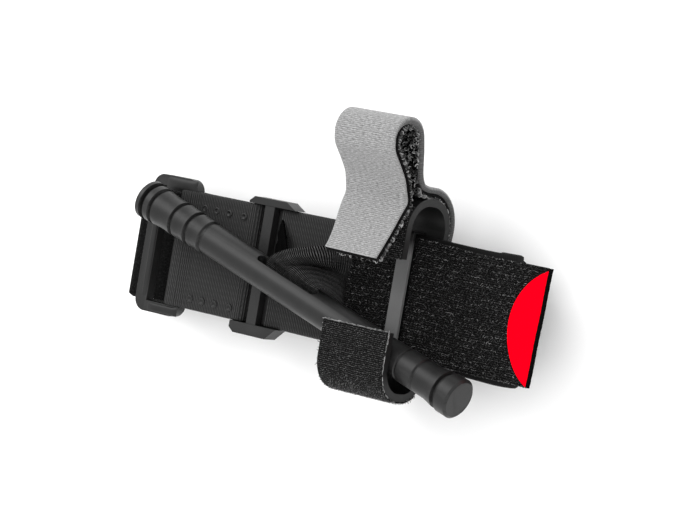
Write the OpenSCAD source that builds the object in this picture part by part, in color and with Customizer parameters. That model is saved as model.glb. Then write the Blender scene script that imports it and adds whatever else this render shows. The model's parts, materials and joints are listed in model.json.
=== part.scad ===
// Strap-and-windlass tourniquet, folded into its carrying packet.
// The packet lies on its back: +X runs along the band to the red tip, +Y across
// the band, +Z out of its face. The origin is on the packet's back face, on the
// band's centre line, near the middle of the packet's length. Millimetres.

/* [Webbing] */
// Width of the band
band_w = 38.1; // [36:0.1:40]
// Extra width of the sleeve's back layer over the band
back_extra = 1.4; // [0:0.1:2]
// Thickness of the ribbed anchor webbing
web_t = 1.4; // [1:0.1:1.6]
// Width of the inner ribbon and of the time strap
ribbon_w = 25.4; // [24:0.1:26]
// Thickness of the inner ribbon
ribbon_t = 0.9; // [0.6:0.1:0.9]
// Thickness of the sleeve's fuzzy front layer
pile_t = 1.6; // [1.2:0.1:1.6]

/* [Packet] */
// Thickness of one packed run of sleeve
run_t = 3.0; // [2:0.1:3.1]
// Height from one packed run to the next
run_pitch = 3.2; // [3.2:0.1:3.4]
// Left end of the packet
left_x = -91.5; // [-93:0.5:-86]
// Right end of the hidden packed folds
fold_x = 65; // [60:0.5:68]
// Right end of the sleeve's wide back layer
turn_x = 74; // [72:0.5:76]
// Free end of the band
tip_x = 85.2; // [84:0.1:88]

/* [Clip] */
// Length of the clip along the band
clip_len = 25.7; // [24:0.1:27]
// Left face of the clip
clip_x = 15.3; // [14:0.1:17]
// Wall of the clip's ring
ring_wall = 2.4; // [2:0.1:2.6]
// Half width inside the ring
ring_in_y = 29.3; // [29:0.1:30]
// Underside of the horns
horn_in_z = 34.9; // [34.8:0.1:35.2]
// Inside corner radius of the ring
ring_in_r = 7.6; // [6:0.1:8]
// Tip of the near horn, below the centre line
near_tip_y = 10.6; // [9:0.1:12]
// Tip of the far horn, above the centre line
far_tip_y = 12.3; // [11:0.1:13]
// Thickness of the hook patches
patch_t = 0.9; // [0.6:0.1:1.1]
// Left face of the keeper bar
keeper_x = 28.4; // [27:0.1:31]
// Length of the keeper bar along the band
keeper_len = 5.1; // [5:0.1:6]

/* [Windlass] */
// Length of the rod
rod_len = 143.4; // [138:0.1:144]
// Radius of the rod's smooth middle
rod_r = 5.3; // [5:0.1:5.4]
// Radius of the ribs next to the smooth middle
rib_r = 5.6; // [5.5:0.1:5.7]
// Radius of the end heads
head_r = 6.6; // [6:0.1:6.7]
// Turn of the rod about +Z at rest
rod_angle = -16.5; // [-18:0.1:-15]
// Roll of the slot about the rod's own axis
slot_roll = -63; // [-70:1:-55]
// Length of the slot
slot_len = 27; // [26:0.5:29]
// Width of the slot
slot_w = 3.4; // [3:0.1:3.6]
// Distance from the rod's left face to the middle of its slot
slot_at = 67; // [62:0.5:70]

/* [Buckle] */
// Width of the buckle across the band
buckle_w = 46; // [45:0.5:48]
// Length of the buckle along the band
buckle_len = 19.6; // [19:0.1:23]
// Axis of the buckle's inner bar
buckle_bar_x = -62.4; // [-63:0.1:-62]
// Radius of the inner bar
buckle_bar_r = 1.7; // [1.5:0.1:1.7]

/* [Hidden] */
$fn = 48;
eps = 0.01;

// heights of the stack, from the packet's back face up
packed_runs = 4;
packed_y = -1;
top_run_stop = 7.6;
first_run_stop = 12;
plate_low = 13.2;
plate_t = 2;
base_z = 15.4;
base_top = base_z + ring_wall;
near_patch_low = base_z + 4;
far_patch_low = 32;
far_patch_y = 30.7;
back_z = base_top + 0.1;
turn_low = (packed_runs - 1) * run_pitch + 0.1;
turn_r = (back_z + web_t - turn_low) / 2;
inner_z = back_z + web_t + 0.1;
front_z = inner_z + ribbon_t + 0.1;
keeper_z = front_z + pile_t + 0.2;
keeper_t = 1.2;
keeper_leg_t = 0.7;
keeper_half = (band_w + back_extra) / 2 + keeper_leg_t + 0.15;
keeper_r = 1.1;
rod_z = keeper_z + keeper_t + 0.4 + rod_r;
clip_end = clip_x + clip_len;
strap_x = clip_x + (clip_len - ribbon_w) / 2;

// stabilizer plate and its ladder frame
frame_x = -35.7;
frame_len = 19.5;
frame_low = base_z + 0.4;
frame_top = 21.4;
frame_half = band_w / 2 + 0.35;
far_flange_w = 2.3;
near_flange_w = 3.7;
left_bar_t = 3;
slot1_x = -33;
slot1_w = 4;
ladder_bar_x = slot1_x + slot1_w;
ladder_bar_w = 4;
ladder_bar_low = 18.3;
ladder_bar_top = 21.1;
slot2_w = 3.2;
plate_x = ladder_bar_x + ladder_bar_w + slot2_w;
web_side_t = 0.3;
step_x = 3;
tongue_x = 13;
plate_end = 45;
tongue_w = 25;
pin_r = 1.6;
pin_gap = 0.05;

// buckle
buckle_bar_z = 19.2;
buckle_x = buckle_bar_x - 15.2;
buckle_corner_r = 4.2;
buckle_low = 18;
buckle_top = 21.5;
outer_bar_w = 5;
arm_w = (buckle_w - band_w) / 2 - 0.35;

// anchor band route
loop_gap = 0.25;
loop_r = buckle_bar_r + loop_gap + web_t / 2;
band_left_z = 20.5;
band_dip_z = 17.1;
band_right_z = back_z + web_t / 2;
mouth_x = 11;
back_x = mouth_x - 1.5;
weld_xs = [-54, -48.8, -43.4, -37.6];
weld_y = 15.7;
weld_r = 1.3;
weld_h = 0.4;

// inner ribbon
anchor_run_x = -20.5;
anchor_run_len = 18;
tack_w = 6;

// windlass
pivot_x = -8;
pivot_y = -4.7;

// free end
tip_hinge_x = 70.5;
tip_start = tip_hinge_x + 0.4;
bind_w = 1.1;
bind_r = 0.5;
backing_t = 0.6;
red_t = 0.7;
red_r = 20.2;
red_x = tip_x + 8;
red_y = -0.6;

// time strap, as (y, z) points along its middle, and its two hinges
strap_t = 2.6;
strap_root_y = 14;
strap_root_top = 28.9;
strap_split = -0.2;
strap_gap = 0.15;
root_weld_r = 1.1;
riser_pts = [[33.4, 30.2], [34.4, 32.6], [37.4, 34.7], [42, 35.9], [48, 37]];
fold_y = 49.6;
fold_z = 42.6;
fold_r = 5.5;
flap_pts = [[49.4, 48.1], [45.6, 47], [41, 43.1], [37, 39.6], [32.8, 38.2],
            [26.5, 39.3], [20, 42], [14.6, 45.6], [11.4, 48.8]];

// ---- helpers ----

// Extrudes a (y, z) outline along +X
module along_x(x, len) {
    translate([x, 0, 0]) rotate([90, 0, 90]) linear_extrude(len) children();
}

// Extrudes an (x, z) outline across the band, centred on Y
module across(w) {
    translate([0, w / 2, 0]) rotate([90, 0, 0]) linear_extrude(w) children();
}

// Rectangle with round corners between two opposite corners
module round_rect(x0, y0, x1, y1, r) {
    translate([x0 + r, y0]) square([x1 - x0 - 2 * r, y1 - y0]);
    translate([x0, y0 + r]) square([x1 - x0, y1 - y0 - 2 * r]);
    for (x = [x0 + r, x1 - r], y = [y0 + r, y1 - r])
        translate([x, y]) circle(r);
}

// Points of an arc from angle a0 to angle a1
function arc_pts(cx, cy, r, a0, a1, n) =
    [for (i = [0:n]) let (a = a0 + (a1 - a0) * i / n) [cx + r * cos(a), cy + r * sin(a)]];

// Unit normal on the left of a path at point i
function path_normal(p, i) =
    let (a = p[max(i - 1, 0)], b = p[min(i + 1, len(p) - 1)], d = b - a)
    [-d[1], d[0]] / norm(d);

// One side of a path, moved by d to its left
function side(p, d) = [for (i = [0:len(p) - 1]) p[i] + d * path_normal(p, i)];

// Smooth curve through hand-set points, n steps for each span
function spline(p, n) =
    let (m = len(p) - 1)
    concat([for (i = [0:m - 1], k = [0:n - 1])
        let (t = k / n, a = p[max(i - 1, 0)], b = p[i], c = p[i + 1], d = p[min(i + 2, m)])
        0.5 * (2 * b + (c - a) * t + (2 * a - 5 * b + 4 * c - d) * t * t
            + (3 * b - a - 3 * c + d) * t * t * t)], [p[m]]);

// Strip of cloth that follows a path between two offsets from it
module strip(p, low, high) {
    back = side(p, low);
    n = len(back) - 1;
    polygon(concat(side(p, high), [for (i = [0:n]) back[n - i]]));
}

// ---- moulded parts ----

module stabilizer_plate() {
    color([0.12, 0.12, 0.13]) {
        // ladder frame: two slots with a raised bar between them
        translate([0, 0, frame_low]) linear_extrude(frame_top - frame_low)
            for (s = [-1, 1])
                let (half = frame_half + (s > 0 ? far_flange_w : near_flange_w))
                    polygon([[frame_x, s * frame_half], [frame_x, s * (half - 1.6)],
                        [frame_x + 2, s * half], [frame_x + frame_len - 4, s * half],
                        [frame_x + frame_len, s * frame_half]]);
        translate([frame_x, -frame_half - eps, frame_low])
            cube([slot1_x - frame_x, 2 * frame_half + 2 * eps, left_bar_t]);
        translate([ladder_bar_x, -frame_half - eps, ladder_bar_low])
            cube([ladder_bar_w, 2 * frame_half + 2 * eps, ladder_bar_top - ladder_bar_low]);
        // body of the plate, with a step down to the tongue under the clip
        across(band_w) polygon([
            [plate_x, base_top - plate_t], [plate_x, base_top], [step_x, base_top],
            [tongue_x, plate_low + plate_t], [tongue_x, plate_low],
            [tongue_x - 1, plate_low], [step_x - 1, base_top - plate_t]]);
        // thin webs that tie the side rails to the plate's body
        for (s = [-1, 1])
            translate([slot1_x - eps, s * frame_half - (s > 0 ? web_side_t : 0), frame_low])
                cube([plate_x - slot1_x + 2, web_side_t, plate_t]);
        difference() {
            translate([tongue_x - eps, -tongue_w / 2, plate_low])
                cube([plate_end - tongue_x, tongue_w, plate_t]);
            pin_places() cylinder(r = pin_r + pin_gap, h = 20, center = true);
        }
    }
}

module pin_places() {
    for (x = [clip_x + 5, clip_end - 5], y = [-8, 8])
        translate([x, y, plate_low + plate_t]) children();
}

module clip_weld_pins() {
    color([0.16, 0.16, 0.17])
        pin_places() translate([0, 0, -plate_t])
            cylinder(r = pin_r, h = base_top - plate_low - 0.3);
}

// (y, z) outline of the ring's inside, grown by g
module ring_outline(g) {
    round_rect(-ring_in_y - g, base_top - g, ring_in_y + g, horn_in_z + g, ring_in_r + g);
}

module windlass_clip() {
    color([0.13, 0.13, 0.14]) difference() {
        along_x(clip_x, clip_len) difference() {
            ring_outline(ring_wall);
            ring_outline(0);
            translate([-near_tip_y, horn_in_z - 1])
                square([near_tip_y + far_tip_y, ring_wall + 2]);
        }
        pin_places() cylinder(r = pin_r + pin_gap, h = 8, center = true);
    }
}

// Bar that holds the sleeve down on the clip's base
module keeper_bar() {
    inside = keeper_half - keeper_leg_t;
    color([0.3, 0.3, 0.31]) along_x(keeper_x, keeper_len) difference() {
        round_rect(-keeper_half, base_z, keeper_half, keeper_z + keeper_t, keeper_r);
        translate([-inside, base_z - 1]) square([2 * inside, keeper_z - base_z + 1]);
        translate([-band_w, 0]) square([2 * band_w, base_top]);
    }
}

// (y, z) outline of a layer of hook tape all round the ring's outside
module patch_outline() {
    difference() {
        ring_outline(ring_wall + patch_t);
        ring_outline(ring_wall + eps);
    }
}

// Hook tape on the outside of the near horn, from its tip to its lower back
module near_hook_patch() {
    color([0.1, 0.1, 0.1]) along_x(clip_x, clip_len) intersection() {
        patch_outline();
        translate([-band_w, near_patch_low]) square([band_w - near_tip_y, band_w]);
    }
}

// Hook tape on the front of the far horn
module far_hook_patch() {
    color([0.1, 0.1, 0.1]) along_x(clip_x, clip_len) intersection() {
        patch_outline();
        translate([far_tip_y, far_patch_low]) square([far_patch_y - far_tip_y, band_w]);
    }
}

// Closed (r, z) outline of the rod. Narrow grooves part its ribs, which get
// lower from the heads to the smooth middle.
function rod_outline() = [
    [0, 0], [head_r - 0.8, 0], [head_r, 0.7], [head_r, 2.2], [5.1, 2.6], [5.1, 3.5],
    [6.3, 3.9], [6.3, 6], [5.2, 6.5], [5.2, 7.2], [6.1, 7.6], [5.8, 12], [6, 16],
    [5.1, 16.4], [5.1, 17.2], [5.9, 17.6], [5.7, 20.4], [5.9, 23], [5, 23.4],
    [5, 24.2], [5.7, 24.6], [5.5, 27.4], [5.7, 29.7], [5, 30.1], [5, 30.8],
    [rod_r, 31.2],
    [rod_r, rod_len - 31.2], [5, rod_len - 30.8], [5, rod_len - 30.1],
    [5.4, rod_len - 29.7], [5.4, rod_len - 23.6], [5, rod_len - 23.3],
    [5, rod_len - 22.8], [rib_r, rod_len - 22.4], [rib_r, rod_len - 16.4],
    [5, rod_len - 16], [5, rod_len - 15.3], [5.6, rod_len - 14.9],
    [5.6, rod_len - 11], [6.3, rod_len - 6.8], [5.3, rod_len - 6.4],
    [5.3, rod_len - 5.3], [head_r, rod_len - 4.8], [head_r, rod_len - 0.7],
    [head_r - 0.8, rod_len], [0, rod_len]];

// Places children in the rod's own frame: its axis along +Z from the left face,
// and the slot's opening along +Y
module rod_frame() {
    translate([pivot_x, pivot_y, rod_z]) rotate([0, 0, rod_angle])
        translate([-slot_at, 0, 0]) rotate([0, 90, 0]) rotate([0, 0, 90 + slot_roll])
            children();
}

module windlass_rod() {
    color([0.2, 0.2, 0.21]) rod_frame() difference() {
        rotate_extrude($fn = 64) polygon(rod_outline());
        translate([-slot_w / 2, -10, slot_at - slot_len / 2 + slot_w / 2])
            cube([slot_w, 20, slot_len - slot_w]);
        for (e = [-1, 1])
            translate([0, 0, slot_at + e * (slot_len - slot_w) / 2]) rotate([90, 0, 0])
                cylinder(d = slot_w, h = 20, center = true);
    }
}

module routing_buckle() {
    half = buckle_w / 2;
    color([0.15, 0.15, 0.16]) {
        difference() {
            translate([0, 0, buckle_low]) linear_extrude(buckle_top - buckle_low)
                round_rect(buckle_x, -half, buckle_x + buckle_len, half, buckle_corner_r);
            translate([buckle_x + outer_bar_w, -half + arm_w, buckle_low - 1])
                cube([buckle_len, buckle_w - 2 * arm_w, 6]);
        }
        translate([buckle_bar_x, -half + arm_w - 1, buckle_bar_z]) rotate([-90, 0, 0])
            cylinder(r = buckle_bar_r, h = buckle_w - 2 * arm_w + 2);
    }
}

// ---- webbing and sleeve ----

// Route of the anchor band: doubled under itself, round the buckle's bar, through
// the ladder frame and on to the sleeve's mouth
function anchor_route() = concat(
    [[-38, band_left_z - web_t - 0.15], [-54, band_left_z - web_t - 0.15],
     [-58, 17.2], [-60.5, buckle_bar_z - loop_r + 0.1]],
    arc_pts(buckle_bar_x, buckle_bar_z, loop_r, -90, -270, 14),
    [[-60, buckle_bar_z + loop_r - 0.1], [-56.5, band_left_z + 0.1],
     [-50, band_left_z], [slot1_x - 1.4, band_left_z], [slot1_x + 0.3, band_left_z - 0.4],
     [slot1_x + 0.9, band_left_z - 1.4], [slot1_x + 1, band_dip_z + 1],
     [slot1_x + 1.8, band_dip_z + 0.1], [ladder_bar_x + 0.8, band_dip_z],
     [ladder_bar_x + 3.6, band_dip_z], [ladder_bar_x + 5.2, band_dip_z + 0.8],
     [ladder_bar_x + 6.8, band_right_z + 0.3], [ladder_bar_x + 9.4, band_right_z],
     [mouth_x - 2, band_right_z]]);

module anchor_band() {
    color([0.1, 0.1, 0.105]) across(band_w) strip(anchor_route(), -web_t / 2, web_t / 2);
}

// Weld dots that join the doubled webbing, in a row along each edge
module anchor_welds() {
    color([0.14, 0.14, 0.15])
        for (x = weld_xs, y = [-weld_y, weld_y])
            translate([x, y, band_left_z + web_t / 2 + 0.12]) cylinder(r = weld_r, h = weld_h);
}

module sleeve_back_layer() {
    color([0.08, 0.08, 0.085])
        translate([back_x, -band_w / 2 - back_extra / 2, back_z])
            cube([turn_x - turn_r - back_x, band_w + back_extra, web_t]);
}

module sleeve_front_layer() {
    color([0.06, 0.06, 0.065])
        translate([mouth_x, -band_w / 2, front_z])
            cube([tip_hinge_x - mouth_x, band_w, pile_t]);
}

// The sleeve turns down behind itself at its right end
module sleeve_turn() {
    color([0.07, 0.07, 0.075]) across(band_w)
        translate([turn_x - turn_r, turn_low + turn_r]) intersection() {
            difference() {
                circle(turn_r);
                circle(turn_r - web_t);
            }
            translate([eps, -turn_r]) square(2 * turn_r);
        }
}

// The long rest of the sleeve, folded to and fro behind the plate
module packed_sleeve() {
    ends = [left_x + run_pitch, fold_x - run_pitch];
    last = packed_runs - 1;
    big = 3 * run_pitch;
    color([0.07, 0.07, 0.075]) translate([0, packed_y, 0]) across(band_w) {
        for (k = [0:last]) {
            right = k == last ? turn_x - top_run_stop : k == 0 ? fold_x - first_run_stop : ends[1];
            translate([ends[0], run_pitch * k]) square([right - ends[0], run_t]);
        }
        for (k = [0:last - 1]) {
            right_side = k % 2 == 1;
            translate([ends[right_side ? 1 : 0], run_pitch * k + (run_pitch + run_t) / 2])
                intersection() {
                    difference() {
                        circle((run_pitch + run_t) / 2);
                        circle((run_pitch - run_t) / 2);
                    }
                    translate([right_side ? -eps : eps - big, -big]) square([big, 2 * big]);
                }
        }
    }
}

// ---- inner ribbon ----

module ribbon_anchor_run() {
    color([0.09, 0.09, 0.095])
        translate([anchor_run_x, -ribbon_w / 2, inner_z])
            cube([anchor_run_len, ribbon_w, ribbon_t]);
}

// Bar tacks that sew the ribbon's left end down
module ribbon_bar_tack() {
    color([0.05, 0.05, 0.055])
        for (y = [-8, 0, 8])
            translate([anchor_run_x + 1, y - tack_w / 2, inner_z + ribbon_t + eps])
                cube([1.2, tack_w, 0.35]);
}

module ribbon_sleeve_run() {
    color([0.09, 0.09, 0.095])
        translate([mouth_x + 1, -ribbon_w / 2 - 1, inner_z])
            cube([tip_hinge_x - 6 - mouth_x, ribbon_w, ribbon_t]);
}

// One cross line of the ribbon loop: its middle, and the direction of its width
module ribbon_line(p, turn, w) {
    translate(p) rotate([0, 0, turn]) cube([w, 0.8, 0.9], center = true);
}

// The ribbon comes out of the rod's slot, arches up and drops to the sleeve's mouth
module ribbon_loop() {
    // middle of each line from the pivot, its turn and its width
    lines = [[[1.7, 5.8, 3.1], rod_angle, 22], [[3.6, 7.9, 4.4], rod_angle - 10, 21],
        [[8.2, 9.2, 4.6], -55, 15], [[13.6, 7.3, 1], -75, 11], [[17.3, 7.2, -5], -86, 13]];
    color([0.1, 0.1, 0.11])
        for (i = [0:3]) hull() for (k = [i, i + 1])
            ribbon_line([pivot_x, pivot_y, rod_z] + lines[k][0], lines[k][1], lines[k][2]);
}

// ---- free end ----

// (x, y) outline of the red part: a round bite out of the pile
module red_outline(grow) {
    intersection() {
        translate([red_x, red_y]) circle(red_r + grow, $fn = 96);
        translate([tip_start, -band_w / 2]) square([tip_x - bind_w - tip_start, band_w]);
    }
}

module tip_backing() {
    color([0.08, 0.08, 0.085])
        translate([tip_start, -band_w / 2, front_z])
            cube([tip_x - bind_w - tip_start, band_w, backing_t]);
}

module tip_pile_layer() {
    color([0.06, 0.06, 0.065])
        translate([0, 0, front_z + backing_t + eps])
            linear_extrude(pile_t - backing_t - eps) difference() {
                translate([tip_start, -band_w / 2])
                    square([tip_x - bind_w - tip_start, band_w]);
                red_outline(0.1);
            }
}

module red_tip_tab() {
    color([0.9, 0.02, 0.08])
        translate([0, 0, front_z + backing_t + eps]) linear_extrude(red_t) red_outline(0);
}

module tip_binding() {
    color([0.07, 0.07, 0.075]) across(band_w)
        round_rect(tip_x - bind_w + eps, front_z - 0.1, tip_x, front_z + pile_t + 0.1, bind_r);
}

// ---- time strap ----

// From the clip's back, round the outside of the far horn
function strap_root_path() =
    let (g = ring_wall + strap_t / 2 + strap_gap, r = ring_in_r + g, c = ring_in_y - ring_in_r)
    concat([[strap_root_y, base_top - g]],
        arc_pts(c, base_top + ring_in_r, r, -90, 0, 14),
        [[c + r, strap_root_top]]);

module time_strap_root() {
    color([0.62, 0.62, 0.63]) along_x(strap_x, ribbon_w)
        strip(strap_root_path(), -strap_t / 2, strap_t / 2);
}

// Weld spots that fix the strap's root to the outside of the far horn
module strap_root_weld() {
    color([0.5, 0.5, 0.51])
        for (k = [0:3])
            translate([strap_x + ribbon_w * (k + 0.5) / 4,
                ring_in_y + ring_wall + strap_gap + strap_t + eps, base_top + ring_in_r])
                rotate([-90, 0, 0]) cylinder(r = root_weld_r, h = weld_h);
}

function riser_path() = concat(spline(riser_pts, 4), arc_pts(fold_y, fold_z, fold_r, -80, -10, 8));

function flap_path() = concat(arc_pts(fold_y, fold_z, fold_r, -4, 88, 10), spline(flap_pts, 4));

module strap_riser_webbing() {
    color([0.72, 0.72, 0.73]) along_x(strap_x, ribbon_w)
        strip(riser_path(), -strap_t / 2, strap_split);
}

module strap_riser_pile() {
    color([0.12, 0.12, 0.12]) along_x(strap_x, ribbon_w)
        strip(riser_path(), strap_split + eps, strap_t / 2);
}

module strap_flap_webbing() {
    color([0.75, 0.75, 0.76]) along_x(strap_x, ribbon_w)
        strip(flap_path(), -strap_t / 2, strap_split);
}

module strap_flap_pile() {
    color([0.12, 0.12, 0.12]) along_x(strap_x, ribbon_w)
        strip(flap_path(), strap_split + eps, strap_t / 2);
}

stabilizer_plate();
windlass_clip();
keeper_bar();
clip_weld_pins();
near_hook_patch();
far_hook_patch();
anchor_band();
anchor_welds();
sleeve_back_layer();
sleeve_front_layer();
sleeve_turn();
packed_sleeve();
ribbon_anchor_run();
ribbon_bar_tack();
ribbon_sleeve_run();
ribbon_loop();
windlass_rod();
routing_buckle();
tip_pile_layer();
red_tip_tab();
tip_binding();
tip_backing();
time_strap_root();
strap_root_weld();
strap_riser_webbing();
strap_riser_pile();
strap_flap_webbing();
strap_flap_pile();
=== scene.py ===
"""Looks of a strap-and-windlass tourniquet, folded in its packet.

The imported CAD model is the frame. Moulded parts become rounded copies of their
CAD nodes, and every soft part is a cloth built along the same route. Values
are in millimetres unless they say otherwise, and MM turns them into metres.
"""
import json
import math

import bmesh
import bpy
import numpy as np
from mathutils import Matrix, Vector


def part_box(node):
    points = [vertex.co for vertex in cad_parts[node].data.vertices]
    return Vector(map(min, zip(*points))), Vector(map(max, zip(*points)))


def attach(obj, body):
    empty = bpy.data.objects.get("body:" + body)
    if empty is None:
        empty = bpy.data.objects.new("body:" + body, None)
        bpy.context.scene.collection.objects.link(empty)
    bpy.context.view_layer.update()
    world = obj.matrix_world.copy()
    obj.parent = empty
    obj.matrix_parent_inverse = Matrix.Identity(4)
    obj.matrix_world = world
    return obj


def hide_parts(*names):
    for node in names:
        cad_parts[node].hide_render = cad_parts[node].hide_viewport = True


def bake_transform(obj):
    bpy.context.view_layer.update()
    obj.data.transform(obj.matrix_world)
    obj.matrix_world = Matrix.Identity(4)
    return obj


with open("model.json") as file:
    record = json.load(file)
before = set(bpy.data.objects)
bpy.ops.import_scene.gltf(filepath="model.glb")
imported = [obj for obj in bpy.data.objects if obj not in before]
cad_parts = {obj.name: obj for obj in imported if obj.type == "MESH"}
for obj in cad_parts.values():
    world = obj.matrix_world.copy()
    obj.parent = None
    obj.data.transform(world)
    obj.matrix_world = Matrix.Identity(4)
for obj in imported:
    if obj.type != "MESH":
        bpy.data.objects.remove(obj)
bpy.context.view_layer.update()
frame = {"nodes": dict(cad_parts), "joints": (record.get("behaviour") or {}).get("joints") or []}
MM = 0.001


# ---- frame values

def box_mm(node):
    """Lowest and highest corner of a CAD node, in millimetres."""
    low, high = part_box(node)
    return np.array(low) / MM, np.array(high) / MM


def joint_mm(name):
    """Place of a joint, in millimetres."""
    return np.array([j["pos_m"] for j in frame["joints"] if j["name"] == name][0]) / MM


PLATE_LOW = box_mm("stabilizer_plate")[0]
CLIP_LOW, CLIP_HIGH = box_mm("windlass_clip")
BUCKLE_LOW, BUCKLE_HIGH = box_mm("routing_buckle")
FRONT_LOW, FRONT_HIGH = box_mm("sleeve_front_layer")
BACK_LOW, BACK_HIGH = box_mm("sleeve_back_layer")
PACKED_LOW, PACKED_HIGH = box_mm("packed_sleeve")
STRAP_LOW, STRAP_HIGH = box_mm("strap_flap_webbing")
RED_LOW, RED_HIGH = box_mm("red_tip_tab")
BINDING_LOW, BINDING_HIGH = box_mm("tip_binding")
PIVOT = joint_mm("windlass_swing")
LIFT = joint_mm("strap_lift")
PEEL = joint_mm("tip_peel")
BAR = joint_mm("buckle_tilt")

BAND_W = FRONT_HIGH[1] - FRONT_LOW[1]
HORN_R = 10.0  # outside radius of the clip's horns


# ---- mesh helpers

def linked(name, data):
    """New object with that data, in the scene."""
    thing = bpy.data.objects.new(name, data)
    bpy.context.scene.collection.objects.link(thing)
    return thing


def mesh_object(name, points, faces, tones=None, weave=None):
    """A mesh object from points in millimetres, with optional point attributes."""
    mesh = bpy.data.meshes.new(name)
    rows = faces.tolist() if isinstance(faces, np.ndarray) else faces
    mesh.from_pydata((np.asarray(points) * MM).tolist(), [], rows)
    if tones is not None:
        mesh.attributes.new("tone", "FLOAT", "POINT").data.foreach_set(
            "value", np.asarray(tones, np.float32))
    if weave is not None:
        mesh.attributes.new("weave", "FLOAT_VECTOR", "POINT").data.foreach_set(
            "vector", np.asarray(weave, np.float32).ravel())
    mesh.shade_smooth()
    mesh.update()
    return linked(name, mesh)


def unit(v):
    """Vectors at length 1."""
    v = np.asarray(v, float)
    return v / np.maximum(np.linalg.norm(v, axis=-1, keepdims=True), 1e-12)


def smooth_step(t):
    """0 before 0, 1 after 1, and a smooth rise between them."""
    t = np.clip(t, 0, 1)
    return t * t * (3 - 2 * t)


def arc(cx, cy, radius, a0, a1, n):
    """Points of an arc, angles in degrees."""
    a = np.radians(np.linspace(a0, a1, n))
    return np.stack([cx + radius * np.cos(a), cy + radius * np.sin(a)], axis=1)


def spline(points, n):
    """Smooth curve through points, n steps a span."""
    p = np.asarray(points, float)
    p = np.vstack([2 * p[0] - p[1], p, 2 * p[-1] - p[-2]])
    t = np.linspace(0, 1, n, endpoint=False)[:, None]
    runs = []
    for a, b, c, d in zip(p[:-3], p[1:-2], p[2:-1], p[3:]):
        runs.append(0.5 * (2 * b + (c - a) * t + (2 * a - 5 * b + 4 * c - d) * t ** 2
                           + (3 * b - a - 3 * c + d) * t ** 3))
    return np.vstack(runs + [p[-2:-1]])


def spline_value(places, rows, at):
    """Smooth values between a few known rows of them, without much overshoot."""
    x, y = np.asarray(places, float), np.asarray(rows, float)
    slope = np.diff(y, axis=0) / np.diff(x)[:, None]
    bend = np.vstack([slope[:1], (slope[:-1] + slope[1:]) / 2, slope[-1:]])
    i = np.clip(np.searchsorted(x, at, side="right") - 1, 0, len(x) - 2)
    h = (x[i + 1] - x[i])[:, None]
    t = (at - x[i])[:, None] / h
    return ((2 * t ** 3 - 3 * t ** 2 + 1) * y[i] + (t ** 3 - 2 * t ** 2 + t) * h * bend[i]
            + (3 * t ** 2 - 2 * t ** 3) * y[i + 1] + (t ** 3 - t ** 2) * h * bend[i + 1])


def travelled(points):
    """Distance along a path at each of its points."""
    return np.concatenate([[0], np.cumsum(np.linalg.norm(np.diff(points, axis=0), axis=1))])


def resample(points, step):
    """The same path with points about step apart."""
    p = np.asarray(points, float)
    at = travelled(p)
    places = np.linspace(0, at[-1], max(2, int(round(at[-1] / step)) + 1))
    return np.stack([np.interp(places, at, p[:, k]) for k in range(p.shape[1])], axis=1)


def path_length(points):
    """Length of a path, in millimetres."""
    return float(np.linalg.norm(np.diff(points, axis=0), axis=1).sum())


def band_grid(path, low, high, columns, axis):
    """Grid of a band along a flat path, its width from low to high on X (0) or Y (1)."""
    grid = np.zeros((len(path), columns, 3))
    grid[:, :, axis] = np.linspace(low, high, columns)
    grid[:, :, 1 - axis] = path[:, :1]
    grid[:, :, 2] = path[:, 1:]
    return grid


def across_y(path, width, columns, middle=0.0):
    """Grid of a band whose (x, z) path runs along X and whose width lies along Y."""
    return band_grid(path, middle - width / 2, middle + width / 2, columns, 1)


EDGE_SWELL = 0.32  # how far a cloth's edge rounds out, as a share of its thickness


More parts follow.
